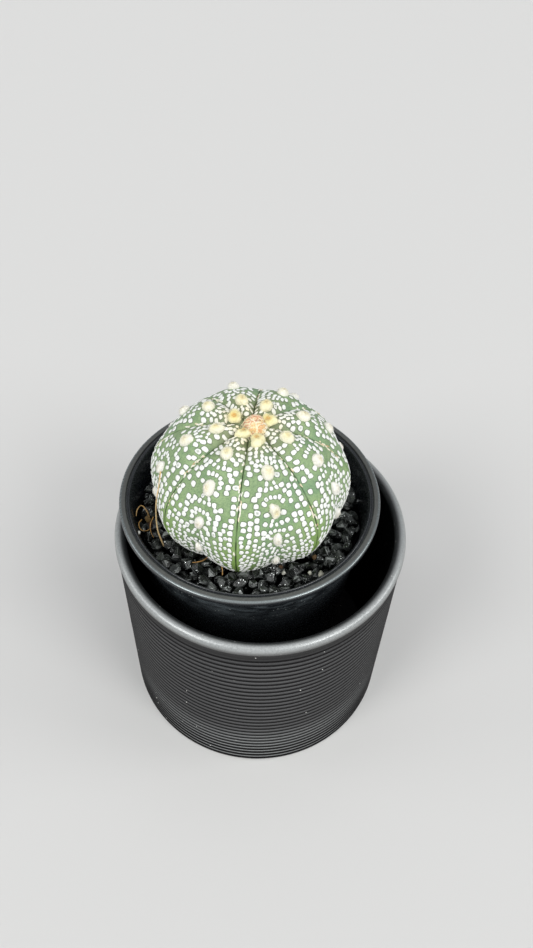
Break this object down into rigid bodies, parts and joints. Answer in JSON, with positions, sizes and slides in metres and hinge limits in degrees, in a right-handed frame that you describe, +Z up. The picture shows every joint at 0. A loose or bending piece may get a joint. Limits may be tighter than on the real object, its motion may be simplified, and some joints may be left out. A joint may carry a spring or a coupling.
{
  "type": "potted star cactus",
  "caption": "Low ribbed star cactus with woolly cushions and white flecks, on black lava gravel in a plastic nursery pot inside a round ringed cover pot.",
  "frame": {"origin": "centre of the cover pot's foot, on the surface that it stands on", "axes": "+Z up along the cover pot's axis, +Y away from the viewer of the picture, +X to that viewer's right"},
  "size_m": [0.1136, 0.1136, 0.1514],
  "materials": {
    "cover_pot": "satin",
    "nursery_pot": "satin",
    "soil": "matte",
    "gravel": "satin",
    "cactus_skin": "satin",
    "wool": "matte"
  },
  "bodies": {
    "root": {"cover_pot": "cover_pot", "nursery_pot": "nursery_pot", "soil": "soil", "gravel": "gravel", "cactus_body": "cactus_skin", "crown_wool": "wool"}
  },
  "joints": []
}
